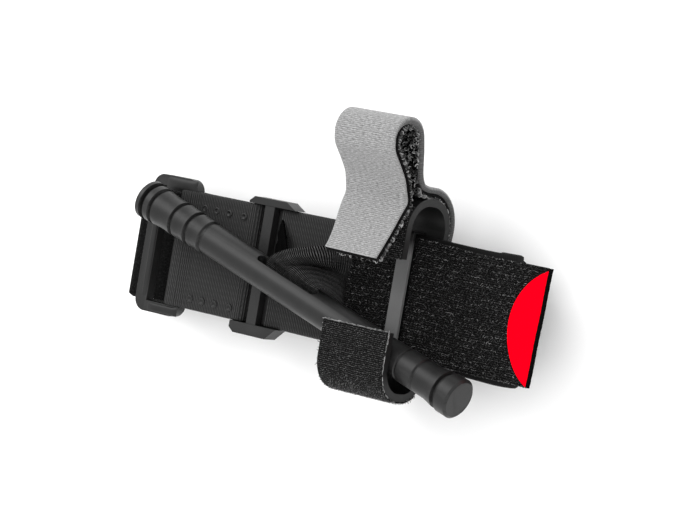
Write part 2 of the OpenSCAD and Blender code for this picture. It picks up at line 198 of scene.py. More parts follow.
def cloth(name, grid, thickness, rib_pitch=0.0, rib_height=0.0, tone=None):
    """Closed cloth of that thickness round a (along, across, 3) grid, with a round edge.

    Ribs run across it. weave holds (across, along) in millimetres and the side,
    which is 1 above, -1 below and 0 on the edge. tone(side, across, along) gives
    the tone of a point, with across and along from 0 to 1.
    """
    p = np.asarray(grid, float)
    rows, columns = p.shape[:2]
    along_dir, across_dir = unit(np.gradient(p, axis=0)), unit(np.gradient(p, axis=1))
    normal = unit(np.cross(along_dir, across_dir))
    along, across = travelled(p[:, columns // 2]), travelled(p[rows // 2])
    thick = np.broadcast_to(np.asarray(thickness, float), rows)
    half = thick / 2
    if rib_pitch:
        half = half + rib_height * (np.abs(np.sin(np.pi * along / rib_pitch)) - 0.5)
    half = half[:, None, None]
    ring = ([(i, 0) for i in range(rows)] + [(rows - 1, j) for j in range(1, columns)]
            + [(i, columns - 1) for i in range(rows - 2, -1, -1)]
            + [(0, j) for j in range(columns - 2, 0, -1)])
    ri, rj = np.array(ring).T
    over_side = (rj == columns - 1).astype(int) - (rj == 0)
    over_end = (ri == rows - 1).astype(int) - (ri == 0)
    out = across_dir[ri, rj] * over_side[:, None] + along_dir[ri, rj] * over_end[:, None]
    edge = p[ri, rj] + unit(out) * (thick[ri] * EDGE_SWELL)[:, None]
    above, beneath = (p + normal * half).reshape(-1, 3), (p - normal * half).reshape(-1, 3)
    points = np.vstack([above, beneath, edge])
    top = grid_faces(rows, columns)
    below = rows * columns
    bottom = top[:, [0, 3, 2, 1]] + below
    k = np.arange(len(ring))
    nxt = (k + 1) % len(ring)
    rim_top = ri * columns + rj
    rim_low, rim_mid = rim_top + below, 2 * below + k
    upper = np.stack([rim_top, rim_mid, rim_mid[nxt], rim_top[nxt]], axis=1)
    lower = np.stack([rim_mid, rim_low, rim_low[nxt], rim_mid[nxt]], axis=1)
    faces = np.vstack([top, bottom, upper, lower])
    u, v = np.meshgrid(across, along)
    flat = np.stack([u.ravel(), v.ravel()], axis=1)
    side = np.concatenate([np.ones(below), -np.ones(below), np.zeros(len(ring))])
    flat = np.vstack([flat, flat, flat[rim_top]])
    tones = tone(side, flat[:, 0] / across[-1], flat[:, 1] / along[-1]) if tone else None
    piece = mesh_object(name, points, faces, tones, np.column_stack([flat, side]))
    fix_normals(piece)
    return piece


def fix_normals(piece):
    """Turns every closed shell's faces outward."""
    mesh = bmesh.new()
    mesh.from_mesh(piece.data)
    bmesh.ops.recalc_face_normals(mesh, faces=mesh.faces)
    mesh.to_mesh(piece.data)
    mesh.free()


def grid_faces(rows, columns):
    """Quads between the points of a grid."""
    index = np.arange(rows * columns).reshape(rows, columns)
    corners = index[:-1, :-1], index[1:, :-1], index[1:, 1:], index[:-1, 1:]
    return np.stack([corner.ravel() for corner in corners], axis=1)


def ring_faces(rings, sides):
    """Quads between each ring of points and the next."""
    faces = []
    for i in range(rings - 1):
        for k in range(sides):
            m = (k + 1) % sides
            faces.append([i * sides + k, i * sides + m, (i + 1) * sides + m, (i + 1) * sides + k])
    return faces


def tube_template(line, radius, sides):
    """Open-ended tube round a short line, as points and faces."""
    p = np.asarray(line, float)
    tangent = unit(np.gradient(p, axis=0))
    up = np.array([0.0, 1.0, 0.0])
    first = unit(np.cross(tangent, up))
    second = np.cross(tangent, first)
    a = np.linspace(0, 2 * np.pi, sides, endpoint=False)
    rings = (p[:, None] + radius * (np.cos(a)[None, :, None] * first[:, None]
                                    + np.sin(a)[None, :, None] * second[:, None]))
    return rings.reshape(-1, 3), np.array(ring_faces(len(p), sides))


def scatter(name, template, places, normals, along, sizes, tones):
    """One mesh of many copies of a template: +Z goes to the normal and +X to along."""
    shape, faces = template
    z = unit(normals)
    y = unit(np.cross(z, along))
    axes = np.stack([np.cross(y, z), y, z], axis=2) * np.asarray(sizes)[:, None, None]
    points = np.einsum("nij,kj->nki", axes, shape) + np.asarray(places)[:, None]
    every = faces[None] + (np.arange(len(places)) * len(shape))[:, None, None]
    return mesh_object(name, points.reshape(-1, 3), every.reshape(-1, faces.shape[1]),
                       np.repeat(tones, len(shape)))


def rounded_copy(node, name, width, segments, angle):
    """New piece with a CAD node's shape, its edges sharper than angle rounded by width."""
    piece = linked(name, frame["nodes"][node].data.copy())
    mesh = bmesh.new()
    mesh.from_mesh(piece.data)
    bmesh.ops.remove_doubles(mesh, verts=mesh.verts, dist=2e-6)
    bmesh.ops.dissolve_limit(mesh, angle_limit=math.radians(0.6), verts=mesh.verts,
                             edges=mesh.edges)
    mesh.to_mesh(piece.data)
    mesh.free()
    piece.data.shade_smooth()
    bevel = piece.modifiers.new("round", "BEVEL")
    bevel.width = width * MM
    bevel.segments = segments
    bevel.limit_method = "ANGLE"
    bevel.angle_limit = math.radians(angle)
    piece.modifiers.new("flat faces", "WEIGHTED_NORMAL")
    return piece


def coat(piece, material):
    """Gives a piece or a CAD node its only material."""
    piece.data.materials.clear()
    piece.data.materials.append(material)


def done(piece, material, body, slot, *nodes):
    """Gives a piece its material and body, and hides the CAD nodes it stands for; slot is not used.

    body is a body's name, or the two bodies and two places of a blend, which are not used: such a piece
    gets no body and keeps its place.
    """
    coat(piece, material)
    if isinstance(body, str):
        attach(piece, body)
    else:
        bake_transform(piece)
    if nodes:
        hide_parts(*nodes)
    return piece


# ---- materials

class Nodes:
    """A material's node tree with short calls to add and join nodes."""

    def __init__(self, name):
        self.material = bpy.data.materials.new(name)
        self.material.use_nodes = True
        self.tree = self.material.node_tree
        self.shader = self.tree.nodes["Principled BSDF"]

    def add(self, kind, inputs=None, **settings):
        node = self.tree.nodes.new("ShaderNode" + kind)
        for key, value in settings.items():
            setattr(node, key, value)
        for key, value in (inputs or {}).items():
            self.put(node.inputs[key], value)
        return node

    def put(self, socket, value):
        if isinstance(value, bpy.types.NodeSocket):
            self.tree.links.new(value, socket)
        elif isinstance(value, tuple) and socket.type == "RGBA" and len(value) == 3:
            socket.default_value = (*value, 1)
        else:
            socket.default_value = value

    def set(self, **inputs):
        for key, value in inputs.items():
            self.put(self.shader.inputs[key.replace("_", " ")], value)

    def math(self, operation, a, b=0.0, clamp=False):
        return self.add("Math", {0: a, 1: b}, operation=operation, use_clamp=clamp).outputs[0]

    def plus(self, a, b, share):
        """a plus a share of b."""
        return self.math("ADD", a, self.math("MULTIPLY", b, share))

    def waves(self, value, length):
        """Sine of a value in millimetres, one wave for each length."""
        return self.math("SINE", self.math("MULTIPLY", value, 2 * math.pi / length))

    def stretched(self, vector, *scale):
        """A place scaled along each axis."""
        return self.add("Mapping", {"Vector": vector, "Scale": scale},
                        vector_type="POINT").outputs[0]

    def split(self, vector):
        """The three coordinates of a place."""
        return self.add("SeparateXYZ", {0: vector}).outputs

    def object_mm(self):
        """Place on the piece, in millimetres."""
        place = self.add("TexCoord").outputs["Object"]
        return self.add("VectorMath", {0: place, "Scale": 1000.0}, operation="SCALE").outputs[0]

    def attribute(self, name, output="Fac"):
        return self.add("Attribute", attribute_name=name).outputs[output]

    def noise(self, vector, scale, detail=2.0, roughness=0.5):
        node = self.add("TexNoise", {"Vector": vector, "Scale": scale, "Detail": detail,
                                     "Roughness": roughness})
        return node.outputs["Fac"]

    def ramp(self, value, *stops):
        node = self.add("ValToRGB", {"Fac": value})
        ramp = node.color_ramp
        ramp.elements[0].position, ramp.elements[-1].position = stops[0][0], stops[-1][0]
        for place, _ in stops[1:-1]:
            ramp.elements.new(place)
        for element, (_, colour) in zip(ramp.elements, stops):
            element.color = (*colour, 1) if isinstance(colour, tuple) else (colour,) * 3 + (1,)
        return node.outputs["Color"]

    def mix(self, factor, a, b):
        node = self.add("Mix", data_type="RGBA")
        self.put(node.inputs[0], factor)
        self.put(node.inputs[6], a)
        self.put(node.inputs[7], b)
        return node.outputs[2]

    def bump(self, height, strength, distance_mm):
        return self.add("Bump", {"Height": height, "Strength": strength,
                                 "Distance": distance_mm * MM}).outputs["Normal"]


def grey(value):
    """Neutral linear colour of an 8-bit grey level."""
    level = value / 255
    linear = level / 12.92 if level <= 0.04045 else ((level + 0.055) / 1.055) ** 2.4
    return (linear,) * 3


def plastic(name, tone, rough=0.42, grain=1.0, painted_shade_y=None):
    """Moulded plastic: fine grain, soft flow marks and worn edges; painted shade makes it darker beyond a
    given y.
    """
    n = Nodes(name)
    place = n.object_mm()
    fine, broad = n.noise(place, 2.2 * grain, 4.0, 0.6), n.noise(place, 0.16, 3.0)
    base = n.ramp(broad, (0.3, grey(tone - 4)), (0.7, grey(tone + 4)))
    worn = n.ramp(n.add("NewGeometry").outputs["Pointiness"], (0.515, 0.0), (0.57, 1.0))
    speck = n.math("MULTIPLY", worn, n.math("MULTIPLY", fine, 0.5))
    colour = n.mix(speck, base, grey(tone + 35))
    # Painted shade: near-black beyond that y, for a part's end that lies in shade.
    if painted_shade_y is not None:
        shade_depth = n.math("SUBTRACT", n.split(place)[1], painted_shade_y)
        painted_shade = n.math("MULTIPLY", shade_depth, 0.2, clamp=True)
        colour = n.mix(painted_shade, colour, grey(10))
    n.set(Base_Color=colour, Roughness=n.plus(rough - 0.09, fine, 0.2),
          Normal=n.bump(n.plus(fine, broad, 2.0), 0.35, 0.05), Specular_IOR_Level=0.28)
    return n.material


def webbing(name, tone, rib_pitch, yarn_pitch=0.55, strength=0.55, spread=20, gloss=0.12):
    """Woven tape: ribs across, yarns crossing them, and uneven dye, with painted highlight on the rib
    crests and painted shade in the grooves.
    """
    n = Nodes(name)
    weave = n.split(n.attribute("weave", "Vector"))
    place = n.object_mm()
    wavy = n.plus(weave[1], n.noise(place, 0.9, 2.0), 0.25)
    rib = n.waves(n.math("SUBTRACT", wavy, rib_pitch / 4), rib_pitch)
    cell = n.math("MULTIPLY", rib, n.waves(weave[0], yarn_pitch))
    height = n.plus(n.math("MULTIPLY", rib, 0.7), cell, 0.3)
    fibre = n.noise(place, 6.0, 3.0, 0.7)
    # Colour follows the rib height: painted highlight on crests and painted shade in grooves, over the
    # fibre noise's uneven dye.
    shade = n.plus(n.math("MULTIPLY", height, 0.36), fibre, 0.9)
    colour = n.ramp(shade, (0.15, grey(tone - spread)), (0.45, grey(tone)),
                    (0.8, grey(tone + 1.6 * spread)))
    n.set(Base_Color=colour, Roughness=n.plus(0.62, fibre, 0.25),
          Normal=n.bump(n.math("ADD", height, fibre), strength, 0.12), Specular_IOR_Level=gloss)
    return n.material


def pile_ground(name, tone):
    """Ground of the loop pile: rows of dark tufts with pale filaments."""
    n = Nodes(name)
    place = n.object_mm()
    tuft = n.noise(n.stretched(place, 0.55, 1.3, 1.0), 1.5, 3.0, 0.75)
    fibre = n.noise(place, 5.5, 4.0, 0.8)
    pale = n.ramp(n.math("MULTIPLY", tuft, fibre), (0.26, 0.0), (0.42, 1.0))
    n.set(Base_Color=n.mix(pale, grey(tone), grey(tone + 40)), Roughness=0.85,
          Normal=n.bump(n.math("ADD", tuft, fibre), 0.9, 0.5), Specular_IOR_Level=0.06)
    return n.material


def filament(name, dark, pale, power=3.0):
    """Nylon filament of loops, hooks and frayed ends; tone makes single ones pale."""
    n = Nodes(name)
    tone = n.math("POWER", n.attribute("tone"), power)
    fibre = n.noise(n.object_mm(), 4.0, 2.0)
    shade = n.math("MULTIPLY", tone, n.plus(0.6, fibre, 0.8), clamp=True)
    n.set(Base_Color=n.mix(shade, grey(dark), grey(pale)), Roughness=n.plus(0.42, fibre, 0.25),
          Specular_IOR_Level=0.4)
    return n.material


def strap_cloth(name):
    """Pale brushed webbing: rows of short dashes across it; tone 0 is its dark pile."""
    n = Nodes(name)
    weave = n.attribute("weave", "Vector")
    dash = n.noise(n.stretched(weave, 0.75, 3.1, 1.0), 1.0, 2.0, 0.6)
    thread = n.noise(n.stretched(weave, 2.5, 6.2, 1.0), 1.0, 2.0, 0.6)
    body = n.plus(n.math("MULTIPLY", dash, 0.6), thread, 0.4)
    body = n.plus(body, n.waves(n.split(weave)[1], 0.62), 0.05)
    light = n.ramp(body, (0.36, grey(92)), (0.5, grey(130)), (0.64, grey(162)))
    curl = n.noise(n.object_mm(), 2.4, 3.0, 0.7)
    dark = n.ramp(curl, (0.35, grey(18)), (0.62, grey(42)), (0.74, grey(105)))
    tone = n.attribute("tone")
    n.set(Base_Color=n.mix(tone, dark, light), Roughness=0.86,
          Normal=n.bump(n.plus(body, curl, 0.3), 0.5, 0.25), Sheen_Weight=0.15,
          Specular_IOR_Level=0.2)
    return n.material


def red_cloth(name):
    """Bright red woven tape."""
    n = Nodes(name)
    place = n.object_mm()
    fibre = n.noise(place, 3.0, 3.0, 0.6)
    n.set(Base_Color=n.mix(fibre, (0.93, 0.0, 0.004), (1.0, 0.0, 0.012)), Roughness=0.8,
          Normal=n.bump(fibre, 0.25, 0.15), Specular_IOR_Level=0.0)
    return n.material


def floor_paper(name):
    """Matt white sweep."""
    n = Nodes(name)
    mottle = n.noise(n.object_mm(), 0.02, 2.0)
    n.set(Base_Color=n.mix(mottle, (0.93,) * 3, (0.96,) * 3), Roughness=0.95,
          Specular_IOR_Level=0.0)
    return n.material


BLACK_PLASTIC = plastic("black_plastic", 19)
# A darker copy of the black plastic for the clip: painted shade for its shaded horn walls.
SHADED_CLIP_PLASTIC = plastic("clip_plastic_painted_shade", 9)
ROD_PLASTIC = plastic("rod_plastic", 19)
# The keeper's far end, under the clip's horn, gets painted shade from y 13 mm on.
KEEPER_PLASTIC_SHADED_END = plastic("keeper_plastic_shaded_end", 88, rough=0.5, painted_shade_y=13)
WEBBING = webbing("ribbed_webbing", 38, 0.7, yarn_pitch=1.9, strength=0.4, spread=17)
SELVEDGE = webbing("sleeve_backing", 14, 0.5, strength=0.3, spread=7)
# Black tape of the bound tip, also used as painted shade on the ribbon's anchor run.
BINDING_TAPE_AND_SHADE = webbing("tip_binding_tape", 9, 0.5, strength=0.3, spread=5, gloss=0.0)
# Wide spread: strong painted highlight and shade on the ribbon's ribs.
RIBBON = webbing("inner_ribbon", 26, 0.56, yarn_pitch=2.3, strength=1.0, spread=36,
                 gloss=0.0)
PILE = pile_ground("loop_pile_ground", 7)
LOOP = filament("loop_filament", 9, 125, power=2.6)
HOOK = filament("hook_filament", 30, 118, power=1.8)
HOOK_GROUND = pile_ground("hook_tape_ground", 18)
CURL = filament("pale_curls", 20, 165, power=1.6)
STRAP = strap_cloth("grey_strap")
RED = red_cloth("red_tape")
THREAD = filament("thread", 30, 60)


# ---- moulded parts

def moulded_parts():
    """Plate, clip, keeper, buckle and rod, each with rounded edges."""
    for node, name, rounding, material, body, slot in (
            ("stabilizer_plate", "plate_moulding", (0.35, 3, 32), BLACK_PLASTIC, "packet", "black_plastic"),
            ("windlass_clip", "clip_moulding", (0.45, 3, 50), SHADED_CLIP_PLASTIC, "packet", "black_plastic"),
            ("keeper_bar", "keeper_moulding", (0.2, 3, 32), KEEPER_PLASTIC_SHADED_END, "packet", "grey_plastic"),
            ("routing_buckle", "buckle_moulding", (0.45, 3, 50), BLACK_PLASTIC, "buckle", "black_plastic"),
            ("windlass_rod", "rod_moulding", (0.22, 2, 24), ROD_PLASTIC, "windlass", "rod_plastic")):
        done(rounded_copy(node, name, *rounding), material, body, slot, node)
    buckle_pads()
    coat(frame["nodes"]["clip_weld_pins"], BLACK_PLASTIC)


def buckle_pads():
    """Raised pads on the buckle's arms, and the ridge along its outer bar."""
    left, right = BUCKLE_LOW[0], BUCKLE_HIGH[0]
    near, far = BUCKLE_LOW[1], BUCKLE_HIGH[1]
    arm = (far - near - BAND_W) / 2 - 0.35
    sunk, rise, reach_in = 0.12, 0.62, 1.6
    pads = [(left + 5.6, right - 0.5, near + 0.3, near + arm - 0.3),
            (left + 5.6, right - 0.5, far - arm + 0.3 - reach_in, far - 0.3),
            (left + 2.5, left + 4.8, near + 4, far - 4)]
    n = 15
    t = np.sin(np.linspace(-1, 1, n) * math.pi / 2)
    u, v = np.meshgrid(t, t, indexing="ij")
    points, faces = [], []
    for x0, x1, y0, y1 in pads:
        x, y = (x0 + x1) / 2 + u * (x1 - x0) / 2, (y0 + y1) / 2 + v * (y1 - y0) / 2
        z = BUCKLE_HIGH[2] - sunk + rise * (1 - u ** 6) * (1 - v ** 4)
        faces.append(grid_faces(n, n) + len(points))
        points += np.stack([x, y, z], axis=2).reshape(-1, 3).tolist()
    done(mesh_object("buckle_pads", points, np.vstack(faces)), BLACK_PLASTIC, "buckle",
         "black_plastic")


# ---- band and welds

WEB_T = 1.4
BAND_Z = box_mm("anchor_welds")[0][2] - WEB_T / 2 - 0.12  # middle of the upper webbing
SLOT_X = PLATE_LOW[0] + 2.7  # left side of the plate's ladder frame
LADDER_X = SLOT_X + 4


def anchor_path():
    """(x, z) middle line of the anchor webbing, along its CAD solid."""
    bar_x, bar_z, r = BAR[0], BAR[2], 2.65
    under = BAND_Z - WEB_T - 0.15
    dip = 17.1
    right = BACK_LOW[2] + WEB_T / 2
    before = [[-38, under], [-54, under], [-58, 17.2], [-60.5, bar_z - r + 0.1]]
    loop = arc(bar_x, bar_z, r, -90, -270, 15)
    after = [[-60, bar_z + r - 0.1], [-56.5, BAND_Z + 0.1], [-50, BAND_Z],
             [SLOT_X - 1.4, BAND_Z], [SLOT_X + 0.3, BAND_Z - 0.4], [SLOT_X + 0.9, BAND_Z - 1.4],
             [SLOT_X + 1, dip + 1], [SLOT_X + 1.8, dip + 0.1], [LADDER_X + 0.8, dip],
             [LADDER_X + 3.6, dip], [LADDER_X + 5.2, dip + 0.8], [LADDER_X + 6.8, right + 0.3],
             [LADDER_X + 9.4, right], [FRONT_LOW[0] - 2, right]]
    return np.vstack([before, loop, after])


def anchor_webbing():
    """Ribbed webbing doubled round the buckle's bar and woven through the plate."""
    path = resample(anchor_path(), 0.18)
    grid = across_y(path, BAND_W + 0.6 - 2 * EDGE_SWELL * WEB_T, 40)
    piece = cloth("anchor_webbing", grid, WEB_T - 0.1, rib_pitch=0.7, rib_height=0.06)
    done(piece, WEBBING, "packet", "ribbed_webbing", "anchor_band")


def weld_dots():
    """Low round welds through the doubled webbing, sunk in the middle."""
    low, high = box_mm("anchor_welds")
    radius, sides, sunk = 1.3, 24, 0.22
    xs = [-54, -48.8, -43.4, -36.9]
    profile = [(0.35, -0.02), (0.6, 0.2), (0.85, 0.34), (1.08, 0.26), (1.25, 0.02),
               (radius, -0.2)]
    turn = np.linspace(0, 2 * np.pi, sides, endpoint=False)
    dot = [(0, 0, -0.05)] + [(r * math.cos(a), r * math.sin(a), z) for r, z in profile
                             for a in turn]
    fan = [[0, 1 + k, 1 + (k + 1) % sides] for k in range(sides)]
    rings = [[1 + face[i] for i in (0, 3, 2, 1)] for face in ring_faces(len(profile), sides)]
    points, faces = [], []
    for x in xs:
        for y in (low[1] + radius, high[1] - radius - 1.3):
            z = low[2] - (sunk if y > 0 and x < xs[2] else 0)
            faces += [[len(points) + i for i in face] for face in fan + rings]
            points += [(x + dx, y + dy, z + dz) for dx, dy, dz in dot]
    done(mesh_object("anchor_weld_dots", points, faces), BLACK_PLASTIC, "packet",
         "ribbed_webbing", "anchor_welds")


# ---- sleeve

def sleeve_back():
    """Wide back layer, turned down behind itself along a slanting line."""
    t = 1.3
    turn_low, turn_high = box_mm("sleeve_turn")
    r = (turn_high[2] - turn_low[2] - t) / 2
    middle_z = (turn_high[2] + turn_low[2]) / 2
    end = turn_high[0] - r - t / 2
    path = np.vstack([[[BACK_LOW[0], BACK_LOW[2] + t / 2 + 0.05]],
                      arc(end, middle_z, r, 90, -90, 14),
                      [[end - 6, middle_z - r]]])
    path = resample(path, 1.0)
    grid = across_y(path, BACK_HIGH[1] - BACK_LOW[1] - 2 * EDGE_SWELL * t, 24)
    x, y = grid[:, :, 0], grid[:, :, 1]
    shorter, slant = 2.4, 0.155
    x -= smooth_step((x - 45) / 24) * (shorter + slant * y)
    y *= 1 + 0.05 * np.clip((x - 34) / 34, 0, 1)
    y += narrowing(x, y)
    piece = cloth("sleeve_back_cloth", grid, t)
    done(piece, SELVEDGE, "packet", "loop_pile", "sleeve_back_layer", "sleeve_turn")


FRONT_BLEND = ("packet", "red_tip", (PEEL[0] - 3.4, 0, PEEL[2]), (PEEL[0] + 3.2, 0, PEEL[2]))
FRONT_Z = (FRONT_LOW[2] + FRONT_HIGH[2]) / 2
KEEPER_LOW, KEEPER_HIGH = box_mm("keeper_bar")
MOUTH_LIFT = 2.1
HELD_X = 31  # the clip holds the front layer flat here
TIP_X = BINDING_HIGH[0]


def front_height(x, y):
    """Waves of the front layer, and its mouth lifted by the ribbon inside."""
    wave = 0.22 * np.sin(x * 0.21 + 0.8) * np.cos(y * 0.11) + 0.1 * np.sin(x * 0.5 + y * 0.3)
    free = smooth_step((np.abs(x - HELD_X) - 6) / 8)
    droop = 0.2 * smooth_step((np.abs(y) - 15) / 4)
    inside = smooth_step((BAND_W / 2 - np.abs(y - 2)) / 14)
    mouth = smooth_step(1 - (x - FRONT_LOW[0]) / 11) * inside
    return wave * free * 0.8 - droop + MOUTH_LIFT * mouth


def sleeve_front():
    """Ground of the fuzzy front layer, from the sleeve's mouth to the bound tip."""
    xs = np.arange(FRONT_LOW[0], BINDING_LOW[0] + 0.4, 0.8)
    grid = across_y(np.column_stack([xs, np.full(len(xs), FRONT_Z - 0.25)]), BAND_W - 0.6, 44)
    x, y = grid[:, :, 0], grid[:, :, 1]
    grid[:, :, 2] += front_height(x, y)
    grid[:, :, :2] += np.stack([tip_slant(x, y), narrowing(x, y)], axis=2)
    piece = cloth("sleeve_front_cloth", grid, 0.9)
    done(piece, PILE, FRONT_BLEND, "loop_pile", "sleeve_front_layer", "tip_backing")


def tip_slant(x, y):
    """How far the free end leans back towards its near corner."""
    return -0.032 * smooth_step((x - PEEL[0]) / 14) * (BAND_W / 2 - y)


def narrowing(x, y):
    """How far the far edge of the sleeve's free end comes in."""
    return -1.2 * smooth_step((x - 30) / 34) * np.clip(y / BAND_W + 0.5, 0, 1.1)


def red_edge(y, grow=0.0):
    """x of the red tape's round edge at y across the band, for its radius and grow."""
    half = (RED_HIGH[1] - RED_LOW[1]) / 2
    depth = RED_HIGH[0] - RED_LOW[0]
    radius = (half * half + depth * depth) / (2 * depth)
    middle_y = (RED_HIGH[1] + RED_LOW[1]) / 2
    inside = np.maximum((radius + grow) ** 2 - (y - middle_y) ** 2, 0)
    return RED_LOW[0] + radius - np.sqrt(inside)


def loop_template():
    """A small leaning curl of filament, 1 unit wide."""
    a = np.linspace(-0.35, math.pi + 0.35, 6)
    line = np.stack([0.5 * np.cos(a), 0.12 * np.sin(2 * a), 0.45 * np.sin(a) + 0.1], axis=1)
    return tube_template(line, 0.14, 3)


def sleeve_loops():
    """Curls of the pile in rows along the band, none over the red tape or under the keeper."""
    rng = np.random.default_rng(11)
    x, y = np.meshgrid(np.arange(FRONT_LOW[0] + 0.3, BINDING_LOW[0] - 0.2, 0.62),
                       np.arange(-BAND_W / 2 + 0.3, BAND_W / 2 - 0.2, 0.72))
    x = (x + rng.uniform(-0.28, 0.28, x.shape)).ravel()
    y = (y + rng.uniform(-0.14, 0.14, y.shape)).ravel()
    under_keeper = (x > KEEPER_LOW[0] - 0.3) & (x < KEEPER_HIGH[0] + 0.3)
    keep = (x < red_edge(y, 0.2)) & ~under_keeper
    x, y = x[keep], y[keep]
    z = FRONT_Z + 0.12 + front_height(x, y)
    x, y = x + tip_slant(x, y), y + narrowing(x, y)
    streak = np.sin(y * 2.9 + np.sin(x * 0.13) * 1.5 + 0.5 * np.sin(x * 0.9))
    tones = np.clip(rng.random(len(x)) * (0.8 + 0.32 * streak), 0, 1)
    normals = np.column_stack([rng.normal(0, 0.35, len(x)), rng.normal(0, 0.35, len(x)),
                               np.ones(len(x))])
    along = np.column_stack([np.ones(len(x)), rng.normal(0, 0.8, len(x)), np.zeros(len(x))])
    piece = scatter("sleeve_loops", loop_template(), np.column_stack([x, y, z]), normals, along,
                    rng.uniform(0.38, 0.72, len(x)), tones)
    done(piece, LOOP, FRONT_BLEND, "loop_pile", "tip_pile_layer")


def red_tab():
    """Red tape that shows in the bite out of the pile."""
    rows, columns, under_binding = 60, 14, 0.75
    ys = np.linspace(RED_LOW[1], RED_HIGH[1], rows)[:, None]
    left = red_edge(ys)
    x = left + (RED_HIGH[0] + under_binding - left) * np.linspace(0, 1, columns)
    x = x + tip_slant(x, ys)
    ys = np.repeat(ys + 0.5 * narrowing(TIP_X, ys), columns, 1)
    z = RED_HIGH[2] - 0.2 + 0.12 * np.sin(ys * 0.24 + 0.5)
    piece = cloth("red_tape_tab", np.stack([x, ys, z], axis=2), 0.35)
    done(piece, RED, "red_tip", "red_tape", "red_tip_tab")


def tip_edge():
    """Folded tape that binds the free end, a little uneven."""
    rows, sides, thin = 90, 20, 0.7
    half_x = (BINDING_HIGH[0] - BINDING_LOW[0]) / 2 * thin
    half_z = (BINDING_HIGH[2] - BINDING_LOW[2]) / 2
    middle = (BINDING_LOW + BINDING_HIGH) / 2 + [0.3 * half_x, 0, 0]
    a = np.linspace(0, 2 * np.pi, sides, endpoint=False)
    ring_x = half_x * np.sign(np.cos(a)) * np.abs(np.cos(a)) ** 0.6
    ring_z = half_z * np.sign(np.sin(a)) * np.abs(np.sin(a)) ** 0.6
    y = np.linspace(BINDING_LOW[1] + 0.1, BINDING_HIGH[1] - 0.1, rows)[:, None]
    wave = tip_slant(middle[0], y) + 0.06 * np.sin(y * 0.35)
    swell = 1 + 0.04 * np.sin(y * 2.1)
    points = np.broadcast_arrays(middle[0] + wave + ring_x * swell, y + narrowing(TIP_X, y),
                                 middle[2] + ring_z * swell)
    weave = np.broadcast_arrays(np.arange(sides) * 0.3, y - y[0], 0)
    ends = [list(range(sides))[::-1], list(range((rows - 1) * sides, rows * sides))]
    faces = ring_faces(rows, sides) + ends
    piece = mesh_object("tip_binding_tape", np.stack(points, axis=2).reshape(-1, 3), faces,
                        weave=np.stack(weave, axis=2))
    piece.data.polygons.foreach_set("use_smooth", [len(f) == 4 for f in faces])
    fix_normals(piece)
    done(piece, BINDING_TAPE_AND_SHADE, "red_tip", "binding", "tip_binding")


def packed_sleeve():
    """Long rest of the sleeve, folded to and fro behind the plate.

    The sleeve is two layers, so each of the four runs is one thick cloth.
    """
    t = 2.9
    pitch = (PACKED_HIGH[2] - PACKED_LOW[2] - t) / 3
    z = [PACKED_LOW[2] + t / 2 + 0.1 + k * pitch * 0.985 for k in range(4)]
    start_x, turn_x, r = 53, 65, pitch / 2
    left, right = PACKED_LOW[0] + t / 2 + 0.3 + r, turn_x - t / 2 - 0.3 - r

    def fold(x, k, end):
        return arc(x, (z[k] + z[k + 1]) / 2, r, -90, end, 9)[1:]

    path = np.vstack([[[start_x, z[0]], [left, z[0]]], fold(left, 0, -270), [[right, z[1]]],
                      fold(right, 1, 90), [[left + 0.6, z[2]]], fold(left + 0.6, 2, -270),
                      [[PACKED_HIGH[0] - 2, z[3]]]])
    path = resample(path, 1.0)
    width, middle = PACKED_HIGH[1] - PACKED_LOW[1], (PACKED_HIGH[1] + PACKED_LOW[1]) / 2
    grid = across_y(path, width - 2 * EDGE_SWELL * t, 24, middle)
    grid[:, :, 1] += (0.15 * np.sin(path[:, 0] * 0.07 + path[:, 1]))[:, None]
    piece = cloth("packed_sleeve_cloth", grid, t)
    done(piece, PILE, "packet", "loop_pile", "packed_sleeve")


# ---- inner ribbon

ROD_ANGLE = math.radians(-16.5)  # the rod at rest, seen from above
ROD_AXIS = np.array([math.cos(ROD_ANGLE), math.sin(ROD_ANGLE), 0])
ROD_SIDE = np.array([-math.sin(ROD_ANGLE), math.cos(ROD_ANGLE), 0])
SLOT_RISE = math.radians(27)  # the slot's tilt out of the band's plane
SLOT_OUT = ROD_SIDE * math.cos(SLOT_RISE) + np.array([0, 0, math.sin(SLOT_RISE)])

# The loop at six shares of its width: the place along the slot where each
# route starts, and the route's points from the rod's pivot.
LOOP_SHARES = [0, 0.17, 0.27, 0.45, 0.75, 1]
LOOP_SLOT = [-9.3, -5.5, -3.3, 0.7, 7.35, 12.9]
LOOP_ROUTES = [
    [[-4.3, 9.6, 4.4], [0.5, 11.7, 5.9], [5.2, 13.3, 6.4], [9.8, 14.4, 5.9], [15.3, 15.8, 3.9],
     [17.6, 15.2, 0], [18.8, 14.8, -4], [23, 15.8, -8.7]],
    [[-1, 7.9, 4.9], [3.2, 9.2, 6.4], [6.8, 10.7, 6.9], [11.4, 11.7, 6.4], [16.6, 12.6, 3.5],
     [18.4, 12.4, -1], [19.4, 11.8, -4.2], [23, 11.9, -8.7]],
    [[1, 7.2, 4.4], [4, 8.4, 4.2], [7.2, 9.4, 2.8], [11.2, 10, 0.8], [15.3, 10.2, -1.6],
     [17.8, 10.1, -3.4], [19.5, 9.7, -4.5], [23, 9.3, -8.7]],
    [[3, 6.2, 3.7], [4.5, 7.5, 3.4], [7, 8.3, 0.4], [10, 8.3, -3], [13.5, 8, -4.6],
     [17, 7, -4.8], [19.6, 6.2, -4.9], [23, 4.8, -8.7]],
    [[9.5, 4.2, 3.6], [11, 5, 3], [12.8, 4.8, 0], [14.6, 3.8, -3], [16.6, 2.4, -5],
     [18.4, 1, -5.6], [20, -0.6, -6.2], [23, -2.6, -8.7]],
    [[14.6, 2.2, 3.3], [15.9, 2.4, 2.3], [16.8, 1.2, 0], [17.6, -0.8, -2.6], [18.4, -3, -4.8],
     [19.4, -5.4, -6.4], [20.6, -7.2, -7.4], [23, -8.6, -8.7]]]


